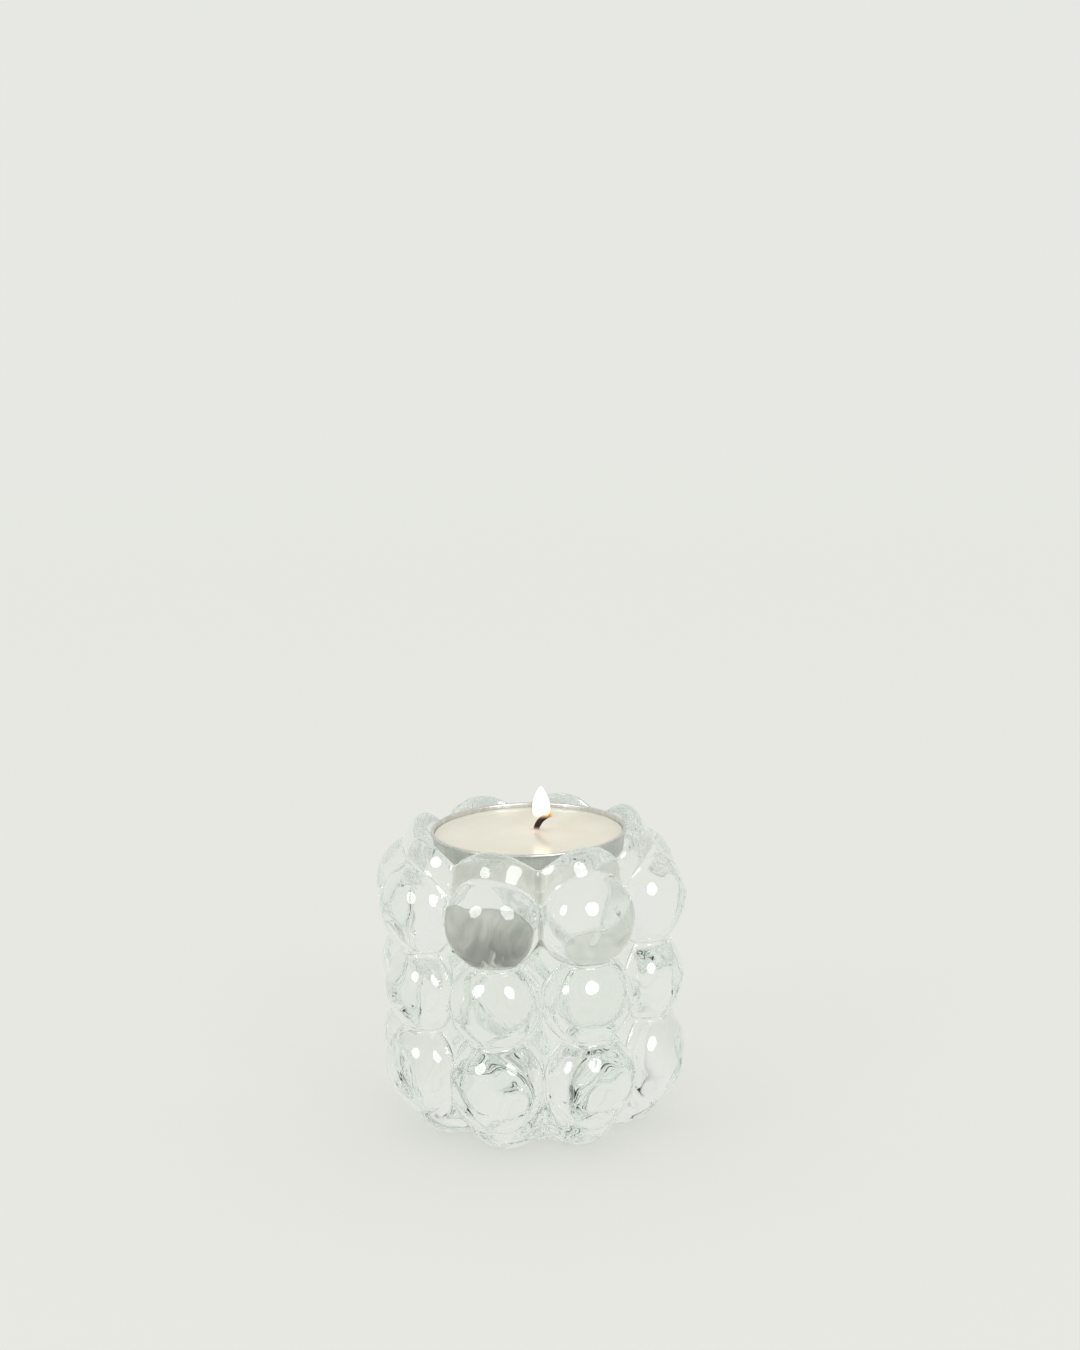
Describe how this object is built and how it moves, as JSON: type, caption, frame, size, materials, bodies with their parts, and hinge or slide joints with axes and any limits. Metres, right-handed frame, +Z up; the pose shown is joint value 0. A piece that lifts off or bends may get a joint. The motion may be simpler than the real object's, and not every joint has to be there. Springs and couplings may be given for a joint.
{
  "type": "tealight holder",
  "caption": "Solid pressed-glass tealight holder covered in round bubbles, with a round recess that holds a lit tealight in an aluminium cup.",
  "frame": {"origin": "middle of the base, on the surface that the holder stands on", "axes": "+Z up along the recess axis; +X through the middle of one column of bubbles"},
  "size_m": [0.0624, 0.0624, 0.0614],
  "materials": {
    "clear_glass": "clear pressed glass, fire polished",
    "aluminium_foil": "bare drawn foil, satin",
    "white_wax": "paraffin wax, melted and glossy on top",
    "tinned_steel": "tinned sheet",
    "charred_cotton": "braided cotton, charred"
  },
  "bodies": {
    "holder": {"glass_holder": "clear_glass"},
    "tealight": {"aluminium_cup": "aluminium_foil", "wax": "white_wax", "wick_sustainer": "tinned_steel", "wick": "charred_cotton"}
  },
  "joints": [
    {"name": "tealight_lift", "type": "slide", "parent": "holder", "child": "tealight", "axis": [0, 0, 1], "range_m": [0, 0.03]}
  ]
}
